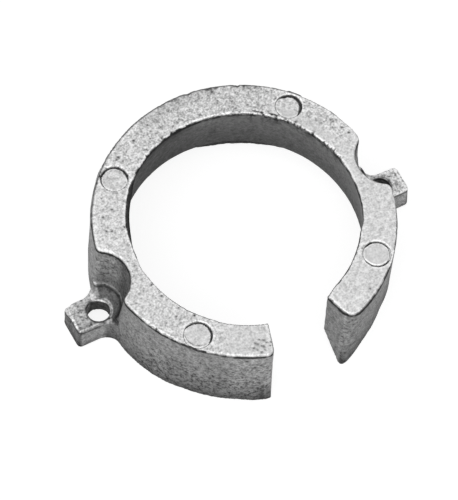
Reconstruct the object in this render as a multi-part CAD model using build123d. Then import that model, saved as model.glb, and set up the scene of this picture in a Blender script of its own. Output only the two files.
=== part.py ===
"""Collar anode: a one-piece die casting, C-shaped, with two bolt ears. Millimetres.

+Z is up. The seat, which is the foot rim and the underside of the ears, is at z = 0.
The bore's axis is Z, the ears lie on +X and -X, and the gap opens towards -Y.
The outside narrows upwards from the seat, and the core narrows upwards too, so that
both halves of the die draw off along Z.
"""

import os
from math import radians, tan

from build123d import *

# The collar.
collar_height = 37.4
rim_radius = 56.0
wall_draft = 1.5

# The core: a drafted bore, over a cone that opens down to the narrow foot rim.
land_width = 12.7
bore_draft = 3.5
cone_height = 12.8
seat_width = 3.2
lip_width = 1.5
lip_height = 1.9

# The gap that lets the collar go over its carrier.
gap_half_angle = 16.0
gap_draft = 1.2
left_corner_radius = 2.8
right_corner_radius = 5.0

# The ears, flush with the seat.
bolt_offset = 3.25
ear_height = 12.0
ear_reach = 9.9
ear_width = 11.2
ear_draft = 3.0
ear_root_radius = 6.0
ear_tip_radius = 1.8
ear_blend_radius = 3.0
ear_blend_bite = 0.15

# The bolt holes, and the relief that runs from under each into the cone, wider at its root.
bolt_hole_radius = 4.25
relief_height = 4.2
relief_root_radius = 7.2
relief_root_offset = 5.8

# The pockets over the ears that give the bolt heads room, stepped in at a narrow ledge.
pocket_top_radius = 11.7
pocket_draft = 8.0
pocket_ledge_height = 5.6
pocket_ledge_width = 0.8
pocket_floor_radius = 5.2
flank_radius = 2.6

# The round marks that the ejector pins leave in the middle of the top land.
pin_mark_angle = 43.5
pin_mark_radius = 5.1
pin_mark_depth = 0.8

# Broken edges.
rim_edge = 0.6
bore_edge = 0.4
foot_edge = 1.2
hole_edge = 0.3

# How far a cutter runs past the face that it cuts, and how closely an edge sought by place matches.
cut_past = 1.0
match = 0.01

wall_slope = tan(radians(wall_draft))
foot_radius = rim_radius + collar_height * wall_slope
bore_radius = rim_radius - land_width
seat_inner_radius = foot_radius - seat_width
bolt_x = rim_radius + bolt_offset
on_seat = (Align.CENTER, Align.CENTER, Align.MIN)


def from_axis(edge):
    """The distance of an edge's middle from the bore's axis."""
    return Vector(edge.center().X, edge.center().Y).length


def wall_edges(solid):
    """The edges that rise along the collar's outer wall."""
    return [
        edge
        for edge in solid.edges()
        if abs(from_axis(edge) - foot_radius + edge.center().Z * wall_slope) < match
        and edge.bounding_box().size.Z > match
    ]


def ear_edges(solid, low_x, high_x):
    """The ears' upright corner edges whose middles lie between these distances from the YZ plane."""
    return [
        edge
        for edge in solid.edges()
        if edge.bounding_box().size.Z > ear_height / 2
        and low_x < abs(edge.center().X) < high_x
        and match < abs(edge.center().Y) < ear_width
    ]


def ear_block():
    """Both ears on a slice of the collar, taller by the blend's radius, with rounded roots and tips."""
    height = ear_height + ear_blend_radius
    spread = 2 * ear_height * tan(radians(ear_draft))
    footprint = Rectangle(2 * (bolt_x + ear_reach) + spread, ear_width + spread)
    bar = extrude(footprint, height, taper=ear_draft)
    block = Cone(foot_radius, foot_radius - height * wall_slope, height, align=on_seat) + bar
    block = fillet(ear_edges(block, bolt_x, 2 * bolt_x), ear_tip_radius)
    return fillet(ear_edges(block, bore_radius, foot_radius), ear_root_radius)


def over_ears():
    """Turned cutter that clears the space over the ears, with a concave blend into the collar's wall."""
    wall = foot_radius - ear_height * wall_slope - ear_blend_bite
    blend_top = ear_height + ear_blend_radius
    outside = 2 * bolt_x
    profile = [
        RadiusArc((wall, blend_top), (wall + ear_blend_radius, ear_height), -ear_blend_radius),
        Line((wall + ear_blend_radius, ear_height), (outside, ear_height)),
        Line((outside, ear_height), (outside, blend_top + cut_past)),
        Line((outside, blend_top + cut_past), (wall, blend_top + cut_past)),
        Line((wall, blend_top + cut_past), (wall, blend_top)),
    ]
    return revolve(make_face([Plane.XZ * edge for edge in profile]), Axis.Z)


def gap():
    """Wedge with radial sides, drafted so that the gap is narrowest at the seat."""
    start, end = bore_radius / 2, 2 * foot_radius
    spread = tan(radians(gap_half_angle))
    plan = Polygon(
        (-start * spread, -start),
        (-end * spread, -end),
        (end * spread, -end),
        (start * spread, -start),
        align=None,
    )
    return extrude(Pos(0, 0, collar_height) * plan, -collar_height - cut_past, taper=gap_draft)


def gap_corner(solid, side):
    """The upright edge where the gap's side on +X (side 1) or -X (side -1) meets the outer wall."""
    return [
        edge
        for edge in wall_edges(solid)
        if edge.center().Y < -bore_radius / 2 and side * edge.center().X > 0
    ]


def core():
    """The bore and the cone below it, as one turned core."""
    narrow = tan(radians(bore_draft))
    profile = Polyline(
        (0, -cut_past),
        (seat_inner_radius, -cut_past),
        (seat_inner_radius, 0),
        (seat_inner_radius - lip_width, lip_height),
        (bore_radius + (collar_height - cone_height) * narrow, cone_height),
        (bore_radius - cut_past * narrow, collar_height + cut_past),
        (0, collar_height + cut_past),
        close=True,
    )
    return revolve(make_face(Plane.XZ * profile), Axis.Z)


def head_pocket():
    """Stepped and drafted cutter for one bolt head, on the Z axis, from the ear's top upwards."""
    ledge = ear_height + pocket_ledge_height
    narrow = tan(radians(pocket_draft))
    ledge_radius = pocket_top_radius - (collar_height - ledge) * narrow
    step_radius, step = ledge_radius - pocket_ledge_width, ledge - pocket_ledge_width
    above, above_radius = collar_height + cut_past, pocket_top_radius + cut_past * narrow
    profile = Polyline(
        (0, ear_height),
        (pocket_floor_radius, ear_height),
        (step_radius, step),
        (ledge_radius, ledge),
        (above_radius, above),
        (0, above),
        close=True,
    )
    return revolve(make_face(Plane.XZ * profile), Axis.Z)


def flank_corners(solid):
    """The four upright edges where the pockets break out through the outer wall, above their ledges."""
    ledge = ear_height + pocket_ledge_height
    return [
        edge
        for edge in wall_edges(solid)
        if edge.center().Z > ledge and match < abs(edge.center().Y) < pocket_top_radius
    ]


def bolt_hole(side):
    """Cutter for one ear's bolt hole and the flared relief under it."""
    hole = Pos(0, 0, -cut_past) * Cylinder(bolt_hole_radius, ear_height + 2 * cut_past, align=on_seat)
    root = Pos(-side * relief_root_offset, 0) * Circle(relief_root_radius)
    flare = make_hull(root.edges() + Circle(bolt_hole_radius).edges())
    relief = extrude(Pos(0, 0, -cut_past) * flare, relief_height + cut_past)
    return Pos(side * bolt_x, 0, 0) * (hole + relief)


def rim_edges(solid):
    """The top land's outline, apart from the bore's own rim."""
    land = solid.faces().filter_by(Axis.Z).sort_by(Axis.Z)[-1]
    return [edge for edge in land.edges() if from_axis(edge) > bore_radius + match]


def bore_rim(solid):
    """The bore's upper rim."""
    land = solid.faces().filter_by(Axis.Z).sort_by(Axis.Z)[-1]
    return [edge for edge in land.edges() if from_axis(edge) < bore_radius + match]


def foot_edges(solid):
    """The seat's outline, round the foot and both ears, before the gap and the core are cut."""
    return solid.faces().filter_by(Axis.Z).sort_by(Axis.Z)[0].edges()


def hole_mouths(solid):
    """The upper mouths of both bolt holes."""
    return [
        edge
        for edge in solid.edges().filter_by(GeomType.CIRCLE)
        if abs(edge.radius - bolt_hole_radius) < match and abs(edge.center().Z - ear_height) < match
    ]


def pin_marks():
    """Four shallow discs in the middle of the top land, set out from both ear axes."""
    disc = Cylinder(pin_mark_radius, 2 * pin_mark_depth)
    turns = [side * pin_mark_angle + half_turn for side in (1, -1) for half_turn in (0, 180)]
    mid_land = Pos((bore_radius + rim_radius) / 2, 0, collar_height)
    return [Rot(0, 0, turn) * mid_land * disc for turn in turns]


casting = Cone(foot_radius, rim_radius, collar_height, align=on_seat) + (ear_block() - over_ears())
casting = chamfer(foot_edges(casting), foot_edge)
casting -= gap()
casting = fillet(gap_corner(casting, -1), left_corner_radius)
casting = fillet(gap_corner(casting, 1), right_corner_radius)
casting -= core()
for side in (1, -1):
    casting -= Pos(side * bolt_x, 0, 0) * head_pocket()
casting = fillet(flank_corners(casting), flank_radius)
casting = chamfer(rim_edges(casting), rim_edge)
casting = chamfer(bore_rim(casting), bore_edge)
for side in (1, -1):
    casting -= bolt_hole(side)
casting = chamfer(hole_mouths(casting), hole_edge)
casting -= pin_marks()

os.makedirs("parts", exist_ok=True)
export_step(casting, "parts/anode_casting.step")
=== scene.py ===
"""Collar anode: a one-piece die casting in aluminium, dressed with its as-cast skin.

Lengths are in millimetres and angles in degrees, until they are handed to Blender.
"""

import bmesh
import bpy
import numpy as np
from mathutils import Euler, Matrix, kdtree


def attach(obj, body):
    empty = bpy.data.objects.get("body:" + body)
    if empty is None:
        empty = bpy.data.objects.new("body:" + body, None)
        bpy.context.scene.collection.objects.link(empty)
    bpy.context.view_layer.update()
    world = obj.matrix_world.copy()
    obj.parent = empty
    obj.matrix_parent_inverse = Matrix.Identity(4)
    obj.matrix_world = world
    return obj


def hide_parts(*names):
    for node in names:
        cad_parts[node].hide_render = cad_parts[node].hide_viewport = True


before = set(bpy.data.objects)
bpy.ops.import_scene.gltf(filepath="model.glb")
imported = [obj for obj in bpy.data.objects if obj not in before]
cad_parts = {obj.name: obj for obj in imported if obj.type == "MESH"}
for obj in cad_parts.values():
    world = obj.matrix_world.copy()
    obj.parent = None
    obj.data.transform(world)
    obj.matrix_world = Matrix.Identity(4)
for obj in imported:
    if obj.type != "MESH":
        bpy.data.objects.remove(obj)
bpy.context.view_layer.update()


# The casting. The collar, its two bolt ears and the pockets over them come out of one die as one
# piece of aluminium. The skin is the CAD node's own surface, divided finely enough to carry what
# the die and the trimming leave: grain, pits, chipped rims, ejector pin marks and a little flash.
MM = 0.001

# The solid's own sizes.
HEIGHT = 37.4
RIM_RADIUS = 56.0
FOOT_RADIUS = 56.979
WALL_SLOPE = 0.0262
FOOT_CHAMFER = 1.2
BORE_RADIUS = 43.3
BORE_SLOPE = 0.0612
CONE_HEIGHT = 12.8
SEAT_INNER = 53.78
GAP_HALF_ANGLE = 16.0
GAP_SLOPE = 0.0209
RIGHT_CORNER_RADIUS = 5.0
LEFT_CORNER_RADIUS = 2.8
BOLT_X = 59.25
HOLE_RADIUS = 4.25
RELIEF_CEILING = 4.2
EAR_HEIGHT = 12.0
EAR_HALF_WIDTH = 5.7
EAR_REACH = 10.0
LEDGE_HEIGHT = 17.6
POCKET_RADIUS = 11.7
POCKET_SLOPE = 0.1405

# The cells that the skin is divided into, the share of them that is kept outside the fine parts,
# and how far a point may lie off a wall's cone to be brought back onto it.
SKIN_CELL = 0.42
KEPT_SHARE = 0.29
TRUE_WITHIN = 0.08

# The ejector pins' marks: centre, radius, the way that the groove beside each faces, and its width.
PIN_MARKS = (
    (-36.1, 34.8, 5.25, 62.0, 0.62),
    (36.15, 34.4, 5.12, 20.0, 0.92),
    (36.35, -34.35, 5.25, 62.0, 0.38),
    (-36.75, -34.9, 5.3, 28.0, 0.50),
)


def is_fine(points):
    """Whether points lie where the cells stay small: by the land, ears, pockets, holes and gap."""
    x, y, z = points.T
    by_ears = (np.abs(x) > 45) & (np.abs(y) < 14) & (z > 8)
    by_holes = (np.hypot(np.abs(x) - BOLT_X, y) < 6.3) & (z < 8.5)
    by_gap = (y < -50) & (z > 20)
    return (z > 34.5) | by_ears | by_holes | by_gap


def is_finest(points):
    """Whether points lie where the cells are halved: along both upper rims and at the pin marks."""
    x, y, z = points.T
    radius = np.hypot(x, y)
    by_rims = (np.abs(radius - BORE_RADIUS - 0.2) < 1.2) | (np.abs(radius - RIM_RADIUS) < 0.8)
    for mark_x, mark_y, mark_radius, _, _ in PIN_MARKS:
        by_rims |= np.abs(np.hypot(x - mark_x, y - mark_y) - mark_radius + 0.3) < 0.7
    return (z > 35.9) & by_rims


def mesh_arrays(mesh):
    """The mesh's points and point normals, as two arrays of three columns."""
    points = np.empty(3 * len(mesh.vertices), dtype=np.float32)
    normals = np.empty(3 * len(mesh.vertices), dtype=np.float32)
    mesh.vertices.foreach_get("co", points)
    mesh.vertices.foreach_get("normal", normals)
    return points.reshape(-1, 3).astype(float) / MM, normals.reshape(-1, 3).astype(float)


def apply_modifiers(piece):
    """Gives the piece the mesh that its modifiers make, and removes them."""
    finished = piece.evaluated_get(bpy.context.evaluated_depsgraph_get())
    piece.data = bpy.data.meshes.new_from_object(finished)
    piece.modifiers.clear()


def divided_copy(node, name):
    """The node's surface in even cells, thinned outside the fine parts and halved in the finest."""
    mesh = node.data.copy()
    loose = bmesh.new()
    loose.from_mesh(mesh)
    bmesh.ops.remove_doubles(loose, verts=loose.verts, dist=0.001 * MM)
    loose.to_mesh(mesh)
    loose.free()
    piece = bpy.data.objects.new(name, mesh)
    bpy.context.scene.collection.objects.link(piece)
    remesh = piece.modifiers.new("cells", "REMESH")
    remesh.mode = "VOXEL"
    remesh.voxel_size = SKIN_CELL * MM
    remesh.use_smooth_shade = True
    apply_modifiers(piece)

    coarse = np.flatnonzero(~is_fine(mesh_arrays(piece.data)[0]))
    piece.vertex_groups.new(name="coarse").add(coarse.tolist(), 1.0, "REPLACE")
    thin = piece.modifiers.new("thin", "DECIMATE")
    thin.ratio = KEPT_SHARE
    thin.vertex_group = "coarse"
    apply_modifiers(piece)
    piece.vertex_groups.clear()
    piece.data.materials.clear()

    finest = is_finest(mesh_arrays(piece.data)[0])
    halved = bmesh.new()
    halved.from_mesh(piece.data)
    edges = [edge for edge in halved.edges if all(finest[vert.index] for vert in edge.verts)]
    bmesh.ops.subdivide_edges(halved, edges=edges, cuts=1, use_grid_fill=True)
    halved.to_mesh(piece.data)
    halved.free()
    return piece


def lattice_noise(points, cell, seed):
    """Smooth noise from -1 to 1: seeded random values on a cubic lattice of this cell, blended
    between the eight corners round each point with the weight 3t² - 2t³ along each axis."""
    side = 64
    table = np.random.default_rng(seed).uniform(-1, 1, (side, side, side))
    at = points / cell
    low = np.floor(at).astype(int)
    part = at - low
    part = part * part * (3 - 2 * part)
    total = np.zeros(len(points))
    for corner in np.ndindex(2, 2, 2):
        weight = np.prod(np.where(corner, part, 1 - part), axis=1)
        total += weight * table[tuple(((low + corner) % side).T)]
    return total


def ease(value, start, end):
    """Runs from 0 at start to 1 at end as 3t² - 2t³. The start may be the larger of the two."""
    t = np.clip((value - start) / (end - start), 0, 1)
    return t * t * (3 - 2 * t)


def arc(turn, start, end, soft):
    """1 between two azimuths, easing to 0 over soft degrees outside them."""
    middle, half = (start + end) / 2, (end - start) / 2
    off = np.abs((turn - middle + 180) % 360 - 180)
    return 1 - ease(off, half, half + soft)


def band(value, middle, reach):
    """1 at the middle, falling off as e to minus the squared distance in units of the reach."""
    return np.exp(-(((value - middle) / reach) ** 2))


def polar(points):
    """The points' distances from the bore's axis, and their azimuths from 0 to 360."""
    x, y = points[:, 0], points[:, 1]
    return np.hypot(x, y), np.degrees(np.arctan2(y, x)) % 360


casting = divided_copy(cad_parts["anode_casting"], "casting_skin")
points, normals = mesh_arrays(casting.data)
x, y, z = points.T

# The drafted walls are brought back onto their cones, so that the node's facets do not show.
radius = np.hypot(x, y)
outer_wall = FOOT_RADIUS - z * WALL_SLOPE
bore_wall = BORE_RADIUS + (HEIGHT - z) * BORE_SLOPE
true_radius = np.where(np.abs(radius - outer_wall) < TRUE_WITHIN, outer_wall, radius)
in_bore = (np.abs(radius - bore_wall) < TRUE_WITHIN) & (z > CONE_HEIGHT)
true_radius = np.where(in_bore, bore_wall, true_radius)
points[:, :2] *= (true_radius / radius)[:, None]

# The bore opens a little further towards its foot than its nominal cone, except at the gap's ends.
CORE_SPREAD = 0.9
turn = polar(points)[1]
on_core = (true_radius < SEAT_INNER) & (np.sum(normals[:, :2] * points[:, :2], axis=1) < 0)
opening = np.where(z > CONE_HEIGHT, (HEIGHT - z) / (HEIGHT - CONE_HEIGHT), z / CONE_HEIGHT)
opening = CORE_SPREAD * np.clip(opening, 0, 1) * arc(turn, -52, 232, 12) * on_core
points[:, :2] *= (1 + opening / true_radius)[:, None]

# The relief under each bolt hole is open all round: below its ceiling, distances from the hole's
# axis, between the hole's radius and the end of the relief's edge, are carried outwards in
# proportion.
RELIEF_RADIUS = 5.4
RELIEF_END = 5.9
side = np.where(x > 0, 1, -1)
away = np.hypot(x - side * BOLT_X, y)
outwards = (RELIEF_END - RELIEF_RADIUS) / (RELIEF_END - HOLE_RADIUS)
carried = RELIEF_RADIUS + (away - HOLE_RADIUS) * outwards
widened = (away > HOLE_RADIUS - 0.15) & (away < RELIEF_END) & (z < RELIEF_CEILING - 0.25)
stretch = np.where(widened, carried / away, 1.0)
points[:, 0] = side * BOLT_X + (x - side * BOLT_X) * stretch
points[:, 1] = y * stretch

# The gap's outer corners sharpen towards the foot: each point of a corner's rounding moves away
# from the rounding's axis, by 1 over the 8-norm of its direction, from not at all up high to fully
# below. Each corner has its side, its radius and how much of that move it makes.
SHARP_BELOW = 6
ROUND_ABOVE = 30
for side, corner_radius, most in ((1, RIGHT_CORNER_RADIUS, 1.0), (-1, LEFT_CORNER_RADIUS, 0.45)):
    end = np.radians(side * GAP_HALF_ANGLE - 90)
    wall_radius = FOOT_RADIUS - z * WALL_SLOPE - np.clip(FOOT_CHAMFER - z, 0, None)
    face_at = -(HEIGHT - z) * GAP_SLOPE
    along = x * np.cos(end) + y * np.sin(end)
    across = side * (y * np.cos(end) - x * np.sin(end))
    axis_along = np.sqrt((wall_radius - corner_radius) ** 2 - (face_at + corner_radius) ** 2)
    out_by = along - axis_along
    gap_by = face_at + corner_radius - across
    reach = np.maximum(np.hypot(out_by, gap_by), 0.01)
    norm = ((np.abs(out_by) / reach) ** 8 + (np.abs(gap_by) / reach) ** 8) ** 0.125
    grow = most * (1 / norm - 1) * (1 - ease(z, SHARP_BELOW, ROUND_ABOVE))
    grow *= (out_by > 0) & (gap_by > 0) & (np.abs(out_by) < 2 * corner_radius)
    points[:, 0] += grow * (out_by * np.cos(end) + side * gap_by * np.sin(end))
    points[:, 1] += grow * (out_by * np.sin(end) - side * gap_by * np.cos(end))

# The outer wall strays a little from its cone. Each row has how far it stands out, or in where it
# is negative, the azimuths between which it does, how softly it ends towards both sides, and the
# heights where it starts and is full.
WALL_SHIFTS = (
    (0.4, 196, 214, 8, HEIGHT - 6, HEIGHT - 36),
    (-1.15, 299, 311, 14, HEIGHT - 6, HEIGHT - 36),
    (0.45, 249, 254, 6, HEIGHT - 15, HEIGHT - 36),
    (0.35, 50, 152, 10, 8, 28),
    (-0.5, 12, 21, 6, 12, 20),
)
radius, turn = polar(points)
by_wall = 1 - ease(FOOT_RADIUS - z * WALL_SLOPE - radius, 0.5, 2.6)
strayed = sum(
    amount * arc(turn, start, end, soft) * ease(z, none_at, full_at)
    for amount, start, end, soft, none_at, full_at in WALL_SHIFTS
)
# Beside the left pocket it bulges most in the middle of its height.
strayed += 1.3 * arc(turn, 160, 174, 6) * ease(HEIGHT - z, 8, 21) * (0.45 + 0.55 * ease(z, 2, 12))
points[:, :2] *= (1 + strayed * by_wall / radius)[:, None]

# The far flank of the right pocket leans in towards the bore, more so further down. The left ear
# reaches a little further out than the right one, and is wider on its far side.
FLANK_X, FLANK_Y, FLANK_SPREAD = 55.4, 11.6, 3.4
EAR_LONGER = 0.7
EAR_WIDER = 1.2
by_flank = band(np.hypot(x - FLANK_X, y - FLANK_Y), 0, FLANK_SPREAD) * ease(z, 14, 18)
by_flank *= 0.5 + 2.1 * ease(HEIGHT - z, 0.5, 10)
points[:, 0] -= 0.9 * by_flank + EAR_LONGER * ease(-x, 64, 68)
points[:, 1] += 0.42 * by_flank
points[:, 1] += EAR_WIDER * ease(y, 4.6, 5.4) * ease(-x, 56.5, 59) * (1 - 0.6 * ease(-x, 66, 69))

# What each point is part of, from 0 to 1: the land, a wall, a pocket's wall, the outside, the bore,
# and the collar's far and near sides.
radius, turn = polar(points)
depth = HEIGHT - z
outward = np.column_stack((x / radius, y / radius, np.zeros(len(x))))
facing_out = np.sum(normals * outward, axis=1)
land = ease(normals[:, 2], 0.6, 0.9) * ease(z, 35.5, 36.3)
wall = 1 - ease(np.abs(normals[:, 2]), 0.35, 0.75)
from_bolt = np.hypot(np.abs(x) - BOLT_X, y)
pocket_wall = POCKET_RADIUS - depth * POCKET_SLOPE
in_pocket = wall * (1 - ease(np.abs(from_bolt - pocket_wall), 0.3, 0.9))
in_pocket *= ease(z, LEDGE_HEIGHT - 1.1, LEDGE_HEIGHT - 0.1)
outer_side = wall * ease(facing_out, 0.2, 0.6) * (1 - in_pocket)
bore_side = wall * ease(-facing_out, 0.2, 0.6) * (1 - ease(radius, 54.5, 55.5))
far_side = arc(turn, -5, 175, 8)
near_side = 1 - far_side

# How rough the skin looks: 1 on the land, more along its far side, down the walls and on the ears,
# less by the gap, by the right ear and in the bore.
by_rim = ease(radius, 47.5, 50)
low_left = ease(depth, 12, 26) * arc(turn, 205, 250, 6)
coarse = np.full(len(x), 1.0)
coarse += land * (0.3 * arc(turn, 50, 130, 12) + 0.2 * arc(turn, 20, 45, 5) * by_rim)
coarse -= land * (0.3 * arc(turn, -75, 0, 10) + 0.35 * arc(turn, 238, 256, 8))
coarse -= land * (0.3 * arc(turn, 0, 14, 5) + 0.4 * arc(turn, 20, 45, 5) * (1 - by_rim))
coarse += outer_side * (0.3 * ease(depth, 3, 8) + 0.8 * low_left)
coarse += 0.45 * in_pocket - 0.3 * bore_side
coarse += 0.6 * ease(np.abs(x), 58, 60) * (1 - ease(np.abs(y), 12, 14)) * (1 - wall)

# What the skin takes on as it is worked: its height along the normals, its push in any direction,
# and from 0 to 1 its darkening, painted shade with some soil, and its painted highlight.
swell = 0.07 * lattice_noise(points, 13.0, 11) + 0.05 * lattice_noise(points, 5.5, 12)
peel = 0.030 * lattice_noise(points, 2.1, 13) + 0.030 * lattice_noise(points, 1.1, 14)
height = swell + peel * (0.4 + 0.7 * coarse)
push = np.zeros_like(points)
soil = np.zeros(len(x))
rub = np.zeros(len(x))

# Chipped rims. The bore rim is bitten all along its far side, the outer rim where the gate was.
DOWN = np.array([0.0, 0.0, -1.0])
on_bore_rim = BORE_RADIUS * outward
on_outer_rim = RIM_RADIUS * outward
bore_bite = np.clip(lattice_noise(on_bore_rim, 1.7, 21) + 0.35, 0, None)
bore_bite *= (
    0.25
    + 0.75 * arc(turn, 98, 118, 6)
    + 0.5 * arc(turn, 118, 140, 5)
    + 0.3 * arc(turn, 215, 240, 4)
)
teeth = np.clip(lattice_noise(on_bore_rim, 0.95, 26) + 0.1, 0, None)
bore_bite += 1.7 * arc(turn, 12, 52, 5) * teeth
outer_bite = np.clip(lattice_noise(on_outer_rim, 2.3, 22) + 0.2, 0, None)
outer_bite *= 0.2 + 1.3 * arc(turn, 58, 94, 6) + 0.35 * arc(turn, 205, 250, 6)
to_bore_rim = np.hypot(radius - BORE_RADIUS, depth)
to_outer_rim = np.hypot(radius - RIM_RADIUS, depth)
bore_chip = np.clip(0.3 + bore_bite - to_bore_rim, 0, None) * (1 - arc(turn, 170, 205, 5))
outer_chip = np.clip(0.2 + outer_bite - to_outer_rim, 0, None)
push += 0.5 * bore_chip[:, None] * (outward + 0.7 * DOWN)
push += 0.5 * outer_chip[:, None] * (-outward + 0.7 * DOWN)

# A raised lip of flash runs round the far side of the bore rim, with painted shade as a dark line
# behind it.
lip = arc(turn, 28, 112, 8) * land
lip_run = 0.6 + 0.4 * lattice_noise(on_bore_rim, 3.1, 23)
lip_at = BORE_RADIUS + 0.75 + 0.25 * lattice_noise(on_bore_rim, 4.3, 24)
height += 0.26 * lip * lip_run * band(radius, lip_at, 0.45)
lip_groove = band(radius, lip_at + 0.85, 0.3) * arc(turn, 36, 58, 2) * land
lip_groove *= ease(lattice_noise(on_bore_rim, 2.6, 25), -0.15, 0.2)
height -= 0.35 * lip_groove
soil += 0.9 * lip_groove

# On the left the bore rim's burr is folded inwards, with painted shade as a dark band beside the
# land, and fades away. Near the gap on the right a thinner one, level with the land, has a line of
# specks behind it.
BURR_REACH = 1.2
burr = BURR_REACH * arc(turn, 143, 158, 14) * bore_side * band(depth, 0.9, 0.8)
soil += arc(turn, 139, 162, 6) * bore_side * (1 - ease(depth, 2.5, 4.0))
level_burr = (
    0.9 * arc(turn, 294, 325, 9) + 0.3 * arc(turn, 188, 228, 4) + 0.6 * arc(turn, 168, 175, 10)
)
level_burr *= (radius < BORE_RADIUS + 1.6) * (1 - ease(depth, 1.5, 9)) * (facing_out < 0.3)
push -= (burr + level_burr)[:, None] * outward
specks = band(radius, BORE_RADIUS + 0.35, 0.3) * arc(turn, 296, 322, 3) * ease(z, 36.2, 36.6)
soil += 0.8 * specks * ease(lattice_noise(on_bore_rim, 1.2, 27), -0.3, 0.2)
# A faint groove on the land to the left of the bore, with painted shade in it.
land_groove = band(radius, BORE_RADIUS + 1.9, 0.3) * arc(turn, 142, 186, 6) * land
height -= 0.08 * land_groove
soil += 0.22 * land_groove

# Ejector pin marks. Each pin stood a little to one side of its hole, so that the disc it left, a
# little under the land, has a tapered groove beside it. The one whose groove is narrower than
# FLAT_WIDTH lies flat, with a thin line at front and back.
FLAT_WIDTH = 0.4
marked_z = z.copy()
on_mark = np.zeros(len(x))
for mark_x, mark_y, mark_radius, groove_to, width in PIN_MARKS:
    from_mark = np.hypot(x - mark_x, y - mark_y)
    here = (from_mark < mark_radius + 1.5) & (z > 36.0)
    aim = np.radians(groove_to)
    toward = (x - mark_x) * np.cos(aim) + (y - mark_y) * np.sin(aim)
    toward /= np.maximum(from_mark, 0.01)
    if width > FLAT_WIDTH:
        taper, darkest = ease(toward, -0.3, 0.45), 0.7
    else:
        taper, darkest = ease(np.abs(toward), 0.35, 0.75), 0.45
    disc_edge = mark_radius - 0.16 - width * taper
    under = ease(-from_mark, -mark_radius - 0.08, -mark_radius + 0.08)
    on_disc = ease(-from_mark, -disc_edge - 0.04, -disc_edge + 0.14)
    groove = under * (1 - on_disc)
    tilt = 0.20 + 0.06 * toward * from_mark / mark_radius
    marked_z = np.where(here, HEIGHT - groove * (0.3 + 0.7 * taper) - tilt * on_disc, marked_z)
    on_mark = np.where(here, on_disc, on_mark)
    # Painted shade in each groove, and painted highlights as rings inside and outside it.
    soil += here * groove * (0.3 + darkest * taper)
    soil += 0.12 * here * band(from_mark, 0.75 * mark_radius, 0.25) * on_disc
    rub += 0.9 * here * band(from_mark, disc_edge - 0.42, 0.24) * (0.35 + 0.65 * taper)
    rub += 0.8 * here * band(from_mark, mark_radius + 0.5, 0.28) * (0.35 + 0.65 * taper)
push[:, 2] += marked_z - z
coarse -= 0.35 * on_mark

# Gas pits. First those that show plainly: by azimuth and height on the outer wall and in the bore,
# by x and y on the land and, smaller, at its end left of the gap, and by x, y, z, width and depth
# the notches beside the left pocket's foot.
WALL_PITS = (
    (216.4, 11.0), (217.8, 12.3), (224.6, 13.0), (225.9, 14.5), (232.5, 17.5), (234.5, 21.4),
    (235.1, 13.6), (234.0, 8.9), (235.0, 9.9), (238.2, 20.6), (241.8, 21.7), (242.8, 22.4),
    (245.8, 15.1), (247.9, 15.5), (238.5, 14.0), (239.7, 32.2), (222.2, 22.2), (226.8, 24.8),
    (229.3, 22.7), (249.2, 29.7), (247.0, 28.2), (243.8, 33.3), (228.0, 15.2), (221.0, 16.4),
)
BORE_PITS = (
    (47.4, 31.8), (44.1, 32.2), (33.1, 28.9), (30.5, 32.1), (77.3, 25.0), (60.4, 25.7),
    (20.5, 33.6),
)
LAND_PITS = (
    (-42.4, 23.7), (-46.6, 22.4), (-48.0, 16.7), (-46.2, 15.8), (-30.8, 42.4), (-22.6, 46.3),
    (12.0, 54.4), (13.1, 52.4), (18.0, 42.2), (50.0, 17.9), (-40.4, -24.9), (-4.4, 46.0),
    (-17.6, -49.2), (-19.1, -47.4), (-21.1, -48.1), (-19.3, -50.7), (-16.5, -46.9), (-14.6, -48.6),
    (25.8, 36.1), (28.7, 33.9), (29.9, 32.7), (32.6, 30.1), (35.5, 27.4), (-34.7, -27.6),
    (-40.3, 38.1), (-15.0, 50.0), (47.6, 22.5), (51.2, 14.8), (30.4, -47.5), (27.5, -45.5),
    (-19.8, -46.6),
)
END_PITS = (
    (-18.2, -48.4), (-20.3, -49.3), (-17.8, -50.4), (-16.0, -48.0), (-15.4, -49.8),
    (-17.9, -45.9),
)
NOTCHES = (
    (-56.4, 7.7, 15.2, 0.9, 0.4), (-55.9, 5.9, 13.2, 0.8, 0.4), (-54.1, 6.1, 12.6, 0.7, 0.3),
)
WALL_DEEP = 0.32
LAND_DEEP = 0.3
END_DEEP = 0.25
END_WIDE = 0.42
BORE_WIDE = 0.8

# Then smaller ones at random, where the skin is coarse.
TRIED_PITS = 900


def on_cone(azimuth, up, cone_radius):
    """The point at this azimuth and height on a cone that has this radius there."""
    return cone_radius * np.cos(np.radians(azimuth)), cone_radius * np.sin(np.radians(azimuth)), up


rng = np.random.default_rng(31)
pits = [
    (*on_cone(at, up, FOOT_RADIUS - up * WALL_SLOPE), rng.uniform(0.55, 0.85), WALL_DEEP)
    for at, up in WALL_PITS
]
for pit_x, pit_y in LAND_PITS:
    at_end = pit_x < 0 and pit_y < -46
    pits.append((pit_x, pit_y, HEIGHT, rng.uniform(0.45, 0.7), END_DEEP if at_end else LAND_DEEP))
pits += NOTCHES
pits += [(pit_x, pit_y, HEIGHT, END_WIDE, END_DEEP) for pit_x, pit_y in END_PITS]
opened_slope = BORE_SLOPE + CORE_SPREAD / (HEIGHT - CONE_HEIGHT)
pits += [
    (*on_cone(at, up, BORE_RADIUS + (HEIGHT - up) * opened_slope), BORE_WIDE, LAND_DEEP)
    for at, up in BORE_PITS
]
for index in rng.choice(len(x), TRIED_PITS, replace=False):
    if rng.uniform() < coarse[index] - 0.7:
        pits.append((*points[index], rng.uniform(0.3, 0.6), rng.uniform(0.1, 0.24)))
tree = kdtree.KDTree(len(x))
for index, point in enumerate(points):
    tree.insert(point, index)
tree.balance()
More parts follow.
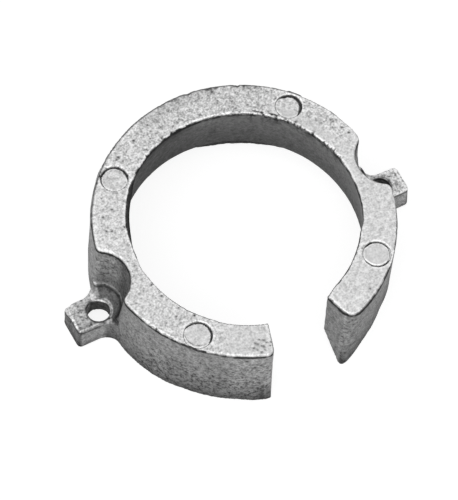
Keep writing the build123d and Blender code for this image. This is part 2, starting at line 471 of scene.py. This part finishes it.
for pit_x, pit_y, pit_z, wide, deep in pits:
    found = tree.find_range((pit_x, pit_y, pit_z), 2.5 * wide)
    near = np.array([index for _, index, _ in found], dtype=int)
    away = np.array([distance for _, _, distance in found])
    if len(near):
        bowl = band(away, 0, wide)
        # Each pit's bowl is sunk and also darkened with painted shade.
        height[near] -= deep * bowl
        soil[near] += 2.2 * deep * bowl

# The skin takes its worked shape, and the seat stays flat. From here on x, y and z are those of the
# worked skin, and the distances and azimuths still those of the plain one.
points += push + height[:, None] * normals
points[:, 2] = np.maximum(points[:, 2], 0)
casting.data.vertices.foreach_set("co", (points * MM).astype(np.float32).ravel())
casting.data.update()
normals = mesh_arrays(casting.data)[1]


def cavity(mesh, points, normals):
    """Hollowness of each point (1/mm): how far its neighbours' mean lies along the normal, times 4
    over the squared mean edge length, then averaged once with the neighbours."""
    ends = np.empty(2 * len(mesh.edges), dtype=np.int32)
    mesh.edges.foreach_get("vertices", ends)
    one, other = ends.reshape(-1, 2).T

    def sum_round(to_one, to_other):
        """The sum of what the edges bring to each point, at their one end and at their other."""
        return np.bincount(one, to_one, len(points)) + np.bincount(other, to_other, len(points))

    each = np.ones(len(one))
    count = sum_round(each, each)

    def mean_round(values):
        """The mean of a value over each point's neighbours."""
        return sum_round(values[other], values[one]) / count

    offset = np.column_stack([mean_round(axis) for axis in points.T]) - points
    length = np.linalg.norm(points[one] - points[other], axis=1)
    mean_length = sum_round(length, length) / count
    hollow = 4 * np.sum(offset * normals, axis=1) / mean_length**2
    return (hollow + mean_round(hollow)) / 2


def blend(tone, target, share):
    """Moves a tone towards its target by this share of the way."""
    return tone + (target - tone) * share


# The tones, from 0 for black to 1 for white: the oxide pale on the land, with painted shade that
# makes it darker down the walls and darkest in the bore, in the pockets' feet and in the bolt
# holes.
LAND_TONE = 0.70
EAR_TONE = 0.47
WALL_TONE = 0.46
END_TONE = 0.47
BORE_TONE = 0.29
POCKET_TONE = 0.42
POCKET_FOOT_TONE = 0.17
HOLE_TONE = 0.14
on_left = x < 0
on_right = x > 0
tone = np.full(len(x), LAND_TONE)
tone += 0.05 * arc(turn, -75, 20, 6) + 0.04 * arc(turn, 148, 178, 8)
tone -= 0.03 * arc(turn, 55, 100, 12) + 0.10 * arc(turn, 80, 105, 10) * ease(radius, 50, 53)
on_ear = ease(np.abs(x), 57.5, 59.5) * (1 - wall)
tone = blend(tone, EAR_TONE + 0.21 * on_right - 0.27 * on_left * ease(-y, 1, 5), on_ear)
# Painted shade darkens the outer wall towards its foot, and painted light makes it lighter by the
# gap.
down_wall = 1 - 0.12 * ease(depth, 2, 20) - 0.34 * ease(depth, 20, 30) - 0.42 * ease(depth, 29, 36)
by_gap = 0.2 * arc(turn, 246, 256, 12) * (1 - 0.5 * ease(depth, 4, 34))
tone = blend(tone, (WALL_TONE + by_gap) * down_wall, outer_side)
# Painted shade darkens the bore with depth and along its left side.
bore_tone = BORE_TONE - 0.10 * ease(depth, 2, 12) - 0.09 * ease(depth, 12, 24)
tone = blend(tone, bore_tone * (1 - 0.42 * arc(turn, 104, 200, 26)), bore_side)
# Painted shade darkens one flank of each pocket, and the left pocket further down.
across_pocket = np.where(on_left, 0.9 * (x + BOLT_X) - 0.44 * y, 1.5 - y)
pocket_tone = POCKET_TONE - 0.29 * ease(across_pocket, 5.5, 9.5) - 0.32 * ease(y, 5, 9) * on_right
tone = blend(tone, pocket_tone * (1 - 0.3 * ease(depth, 9, 17) * on_left), in_pocket)
# Painted shade darkens the gap's end faces towards the foot.
end_face = wall * (1 - outer_side) * (1 - bore_side) * (y < -38)
tone = blend(tone, END_TONE * (1 - 0.3 * ease(depth, 20, 36)), end_face)
# Painted shade darkens the pockets' feet and the bolt holes.
pocket_foot = (1 - ease(from_bolt, 8.6, 9.3)) * ease(z, EAR_HEIGHT + 0.15, EAR_HEIGHT + 0.7)
pocket_foot *= (1 - ease(z, LEDGE_HEIGHT - 0.4, LEDGE_HEIGHT)) * (1 - ease(radius, 56.6, 57.2))
tone = blend(tone, POCKET_FOOT_TONE - 0.09 * on_right, pocket_foot)
in_hole = (1 - ease(from_bolt, 4.4, 4.7)) * (1 - ease(z, EAR_HEIGHT - 0.4, EAR_HEIGHT))
tone = blend(tone, HOLE_TONE, in_hole)

# Noises that break up the lines of painted shade. The skin's own hollows get painted shade, and its
# ridges painted highlights.
ragged = ease(lattice_noise(points, 1.5, 41), -0.5, 0.2)
patchy = np.maximum(ease(lattice_noise(points, 4.5, 44), -0.4, 0.2), arc(turn, 280, 330, 5))
speckled = ease(lattice_noise(points, 1.1, 45), -0.1, 0.3)
hollow = cavity(casting.data, points, normals)
soil += 0.5 * ease(hollow, 0.35, 1.6)
rub += 0.8 * ease(-hollow, 0.5, 1.8)

# Painted shade in the pockets, under their ledges, in the holes' mouths and at the left ear's root,
# and a painted highlight along the ledges' edge.
by_ledge = np.abs(from_bolt - pocket_wall) < 1.6
rub += 0.7 * by_ledge * band(z, LEDGE_HEIGHT + 0.1, 0.22) * ease(y, -5, -1)
soil += 0.6 * by_ledge * ease(-y, 1, 5) * ease(z, 12.5, 13.5) * (1 - ease(z, 18, 19.5)) * on_left
soil += 0.85 * by_ledge * band(z, LEDGE_HEIGHT - 0.9, 0.6)
soil += 0.6 * on_left * band(np.hypot(x + 53.0, y + 8.6), 0, 2.2) * ease(z, 21, 18)
soil += 0.8 * band(from_bolt, 4.75, 0.3) * ease(z, 11.3, 11.7) * (1 - ease(z, 12.6, 13))
ear_root = on_left * band(np.hypot(x + 57.6, y + 6.0), 0, 2.3) * ease(z, 9, 10.5)
soil += 0.45 * ear_root * (1 - ease(z, 14, 16)) * (0.3 + 0.7 * speckled)

# Painted shade as dark lines under the outer rim and under the bore rim, which is toothed on the
# right, and over the top of the bore's far left side.
under_rim = band(depth, 1.1, 0.55) * ease(z, 33, 34)
soil += under_rim * (1.3 * outer_side + 1.4 * in_pocket + 1.7 * end_face) * (0.35 + 0.65 * ragged)
toothed = arc(turn, 14, 62, 8)
under_bore = (1 - ease(depth, 1.6, 2.8)) * (1 - 0.6 * toothed) * (0.35 + 0.6 * ragged)
under_bore += 0.55 * (1 - ease(depth, 3.5, 6.0)) * toothed * speckled
soil += under_bore * bore_side * (1 - arc(turn, 174, 205, 5))
soil += 0.5 * arc(turn, 98, 135, 14) * bore_side * (1 - ease(depth, 4, 9))

# Painted shade as dark lines on the edges themselves, round the land and at the gap's ends, dark
# spots by the gate, and darker patches low on the corner by the gap.
end_turn = np.radians(GAP_HALF_ANGLE)
from_gap = np.where(y < -30, np.abs(x) * np.cos(end_turn) + y * np.sin(end_turn), 50)
rim_edge = band(radius, RIM_RADIUS - 0.15, 0.35) * ease(z, 36.2, 36.6)
bore_edge = band(radius, BORE_RADIUS + 0.1, 0.3) * ease(z, 36.2, 36.6)
soil += 0.85 * rim_edge * far_side
soil += 0.8 * bore_edge * (near_side * (1 - arc(turn, 178, 200, 5)) + arc(turn, 135, 176, 4))
near_edge = np.maximum((radius > RIM_RADIUS - 0.9) * near_side, from_gap < 0.9)
near_edge = np.maximum(near_edge, np.abs(from_bolt - POCKET_RADIUS) < 1.0) * (normals[:, 2] < 0.9)
edge_line = band(depth, 0.85, 0.45 + 0.3 * arc(turn, 262, 332, 6))
soil += 1.3 * edge_line * near_edge * (0.2 + 0.8 * patchy) * (0.45 + 0.55 * ragged)
gate = arc(turn, 60, 96, 6) * band(radius, RIM_RADIUS - 0.9, 0.7) * land
soil += 0.55 * gate * ease(lattice_noise(points, 1.3, 42), 0.05, 0.45)
foot_corner = arc(turn, 246, 292, 4) * ease(depth, 30, 36) * wall
soil += 0.6 * foot_corner * ease(lattice_noise(points, 1.4, 43), 0, 0.4)

# Painted highlights as bright lines beside them, along the land's edges.
rub += 0.9 * band(from_gap, 1.0, 0.4) * land
rub += 0.7 * rim_edge * near_side
rub += 0.8 * band(radius, RIM_RADIUS - 1.0, 0.35) * land * far_side * (1 - gate)
rub += band(radius, BORE_RADIUS + 0.7, 0.4) * land * (0.3 + 0.7 * arc(turn, 0, 172, 8))

# The ears have a painted highlight as a bright line inside their upper edge, and painted shade on
# their sides, at the top and at the foot, and over all of the left ear's side.
to_side = EAR_HALF_WIDTH - np.abs(y) + EAR_WIDER * on_left * (y > 0)
to_tip = BOLT_X + EAR_REACH - np.abs(x) + 0.9 * on_left
on_tip = ease(np.abs(x), 59, 62)
ear_line = band(np.minimum(to_side, to_tip), 0.9, 0.4) * on_ear * on_tip
rub += ear_line
tone += 0.2 * ear_line
ear_side = on_tip * wall * (z < EAR_HEIGHT)
tone *= 1 - 0.22 * ear_side * on_left
soil += ear_side * (0.8 * band(z, EAR_HEIGHT - 1.0, 0.6) + 0.7 * (1 - ease(z, 0.8, 2.4)))

soil = np.clip(soil, 0, 1)
rub = np.clip(rub, 0, 1) * (1 - soil)


def keep_layers(mesh, **layers):
    """Keeps each array of values as a point attribute of its own name."""
    for name, values in layers.items():
        layer = mesh.attributes.new(name, "FLOAT", "POINT")
        layer.data.foreach_set("value", np.clip(values, 0, 3).astype(np.float32))


keep_layers(casting.data, tone=tone, soil=soil, rub=rub, coarse=coarse)
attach(casting, "root")
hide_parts("anode_casting")


class Wire:
    """One output in a material's node tree. Arithmetic on it adds Math nodes to that tree."""

    def __init__(self, tree, socket=None):
        self.tree = tree
        self.socket = socket

    def node(self, kind, settings=None, values=None, out=0):
        """Adds a node of this kind, sets it and fills or wires its sockets, and gives an output."""
        made = self.tree.nodes.new("ShaderNode" + kind)
        for name, setting in (settings or {}).items():
            setattr(made, name, setting)
        for name, value in (values or {}).items():
            if isinstance(value, Wire):
                self.tree.links.new(value.socket, made.inputs[name])
            else:
                made.inputs[name].default_value = value
        return Wire(self.tree, made.outputs[out])

    def maths(self, operation, first, second):
        """A Math node of this operation on two values."""
        return self.node("Math", {"operation": operation}, {0: first, 1: second})

    def __add__(self, other):
        return self.maths("ADD", self, other)

    def __sub__(self, other):
        return self.maths("SUBTRACT", self, other)

    def __rsub__(self, other):
        return self.maths("SUBTRACT", other, self)

    def __mul__(self, other):
        return self.maths("MULTIPLY", self, other)

    __radd__ = __add__
    __rmul__ = __mul__

    def most(self, other):
        """The larger of two values."""
        return self.maths("MAXIMUM", self, other)

    def ease(self, start, end):
        """Runs from 0 at start to 1 at end, smoothly."""
        return self.node(
            "MapRange",
            {"interpolation_type": "SMOOTHSTEP"},
            {"Value": self, "From Min": start, "From Max": end},
        )

    def as_grey(self):
        """The colour whose three channels are this value."""
        return self.node("CombineColor", values={"Red": self, "Green": self, "Blue": self})

    def into(self, shader, name):
        """Links this output into a socket of a shader."""
        self.tree.links.new(self.socket, shader.inputs[name])


metal = bpy.data.materials.new("cast_aluminium")
metal.use_nodes = True
shader = metal.node_tree.nodes["Principled BSDF"]
wires = Wire(metal.node_tree)
place = wires.node("TexCoord", out="Object")
stretched = wires.node("Mapping", values={"Vector": place, "Scale": (1, 1, 0.12)})
flattened = wires.node("Mapping", values={"Vector": place, "Scale": (0.8, 0.8, 1.5)})


def grain(cell, detail, vector=place):
    """Noise from 0 to 1 with cells of this width."""
    values = {"Vector": vector, "Scale": 1 / (cell * MM), "Detail": detail, "Roughness": 0.6}
    return wires.node("TexNoise", values=values)


def layer(name):
    """One of the casting's own point attributes."""
    return wires.node("Attribute", {"attribute_name": name}, out="Fac")


# The tone is mottled by three widths of grain, streaked down the walls and dashed where the skin is
# coarse. Painted shade and dirt darken and roughen it, and the painted highlight does the reverse.
rough_skin = layer("coarse")
shade_and_dirt = layer("soil")
bright = layer("rub")
fine = grain(0.75, 1.0) - 0.5
medium = grain(1.7, 1.0) - 0.5
broad = grain(4.5, 2.0) - 0.5
streak = grain(1.4, 2.0, stretched) - 0.5
mottle = (fine * 1.35 + medium * 1.3 + broad * 0.35) * rough_skin
dashes = grain(1.3, 1.0, flattened).ease(0.6, 0.7) * rough_skin.ease(1.15, 2.0)
grey = layer("tone") * (1 + mottle).most(0.25) * (1 + streak * 0.12) * (1 - dashes * 0.5)
grey = grey * (1 - shade_and_dirt * 0.94) * (1 + bright * 0.4)
grey.as_grey().into(shader, "Base Color")
roughness = 0.48 - mottle * 0.3 + shade_and_dirt * 0.3 - bright * 0.12
roughness.into(shader, "Roughness")
relief = (grain(0.9, 3.0) * 0.7 + grain(2.4, 2.0) * 0.6) * (0.3 + 0.7 * rough_skin)
bump = {"Strength": 1.0, "Distance": 0.10 * MM, "Height": relief}
wires.node("Bump", values=bump).into(shader, "Normal")
shader.inputs["Metallic"].default_value = 0.3
casting.data.materials.append(metal)


# Flash at the foot. The same metal, squeezed into the joint between the core and the seat's plate,
# stands inwards from the seat's inner edge along the far side as a thin fin with a ragged edge.
FLASH_ENDS = (24.0, 96.0)
FLASH_ROOT = 54.0
FLASH_REACH = 2.5
FLASH_ROWS = 260

# The fin's section: the share of the reach that each corner stands in by, and its height.
FLASH_SECTION = ((0, 0.05), (1, 0.10), (1, 0.28), (0, 0.45))
CORNERS = len(FLASH_SECTION)


def flash_points():
    """The fin's section carried round the axis. Its tip stands in from the root by the reach, times
    an ease at both ends, times 1 plus a tenth of a noise along the edge."""
    at = np.radians(np.linspace(*FLASH_ENDS, FLASH_ROWS))
    path = np.column_stack((np.cos(at), np.sin(at), 0 * at)) * FLASH_ROOT
    t = np.linspace(0, 1, FLASH_ROWS)
    reach = FLASH_REACH * (0.1 + 0.9 * ease(t, 0, 0.6) * (1 - ease(t, 0.7, 1)))
    reach *= 1 + 0.06 * lattice_noise(path, 2.2, 51) + 0.04 * lattice_noise(path, 0.9, 52)
    lines = [
        (1 - share * reach / FLASH_ROOT)[:, None] * path + [0, 0, up] for share, up in FLASH_SECTION
    ]
    return np.stack(lines, axis=1).reshape(-1, 3)


fin_points = flash_points()
row, corner = np.meshgrid(np.arange(FLASH_ROWS - 1) * CORNERS, np.arange(CORNERS), indexing="ij")
following = (corner + 1) % CORNERS
quads = (row + corner, row + following, row + CORNERS + following, row + CORNERS + corner)
first_end = list(range(CORNERS))[::-1]
last_end = list(range(CORNERS * (FLASH_ROWS - 1), CORNERS * FLASH_ROWS))
faces = np.stack(quads, axis=-1).reshape(-1, 4).tolist() + [first_end, last_end]
fin_mesh = bpy.data.meshes.new("foot_flash")
fin_mesh.from_pydata((fin_points * MM).tolist(), [], faces)
even = np.ones(len(fin_points))
# The fin is painted dark, as painted shade under the collar's foot.
keep_layers(fin_mesh, tone=0.2 * even, soil=0.35 * even, rub=0 * even, coarse=even)
fin_mesh.materials.append(metal)
fin = bpy.data.objects.new("foot_flash", fin_mesh)
bpy.context.scene.collection.objects.link(fin)
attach(fin, "root")


# The studio. A white sweep of paper, just clear of the seat, and a wide, soft lamp, with a weak
# sky. Seen directly or in a reflection, both the paper and the sky are white.
FLOOR_HEIGHT = -0.2 * MM
FLOOR_HALF = 6.0
PAPER_GREY = 0.12
PAPER_SEEN = 0.3
PAPER_GLOW = 0.86
PAPER_MIRRORED = 0.9
SKY_LEVEL = 0.25
LAMP_WIDTH = 2.4
LAMP_POWER = 20.5
LAMP_PLACE = (-0.55, -0.45, 1.5)

floor_mesh = bpy.data.meshes.new("floor")
floor_corners = [
    (side_x * FLOOR_HALF, side_y * FLOOR_HALF, FLOOR_HEIGHT)
    for side_x, side_y in ((-1, -1), (1, -1), (1, 1), (-1, 1))
]
floor_mesh.from_pydata(floor_corners, [], [(0, 1, 2, 3)])
floor = bpy.data.objects.new("floor", floor_mesh)
bpy.context.scene.collection.objects.link(floor)
paper = bpy.data.materials.new("paper")
paper.use_nodes = True
pale = paper.node_tree.nodes["Principled BSDF"]
pale.inputs["Roughness"].default_value = 0.9
pale.inputs["Specular IOR Level"].default_value = 0.0
pale.inputs["Emission Strength"].default_value = 1.0


def rays(wires):
    """Whether a ray comes from the camera, and whether from a reflection or through glass."""
    kinds = ("Is Camera Ray", "Is Glossy Ray", "Is Transmission Ray")
    seen, glossy, through = (wires.node("LightPath", out=kind) for kind in kinds)
    return seen, glossy.most(through)


seen, mirrored = rays(Wire(paper.node_tree))
shade = PAPER_GREY + seen * (PAPER_SEEN - PAPER_GREY) + mirrored * (PAPER_MIRRORED - PAPER_GREY)
shade.as_grey().into(pale, "Base Color")
(seen * PAPER_GLOW).as_grey().into(pale, "Emission Color")
floor_mesh.materials.append(paper)

world = bpy.data.worlds.new("studio")
world.use_nodes = True
bpy.context.scene.world = world
back = world.node_tree.nodes["Background"]
back.inputs["Color"].default_value = (1, 1, 1, 1)
seen, mirrored = rays(Wire(world.node_tree))
sky = SKY_LEVEL + seen.most(mirrored) * (1 - SKY_LEVEL)
sky.into(back, "Strength")

lamp = bpy.data.lights.new("softbox", "AREA")
lamp.shape = "DISK"
lamp.size = LAMP_WIDTH
lamp.energy = LAMP_POWER
softbox = bpy.data.objects.new("softbox", lamp)
softbox.location = LAMP_PLACE
softbox.rotation_euler = (-softbox.location).to_track_quat("-Z", "Y").to_euler()
bpy.context.scene.collection.objects.link(softbox)


# The camera. It stands high up, before the left ear and the gap, with a long lens that takes in
# the whole casting.
SENSOR_WIDTH = 36
FOCAL_LENGTH = 174.76635
CAMERA_PLACE = (-0.223275, -0.34514, 0.822585)
CAMERA_TURN = (26.6957328, -2.62699265, -27.05876842)
view = bpy.data.cameras.new("camera")
view.sensor_width = SENSOR_WIDTH
view.lens = FOCAL_LENGTH
camera = bpy.data.objects.new("camera", view)
camera.location = CAMERA_PLACE
camera.rotation_euler = Euler(np.radians(CAMERA_TURN))
bpy.context.scene.collection.objects.link(camera)
bpy.context.scene.camera = camera
bpy.context.scene.view_settings.view_transform = "Standard"
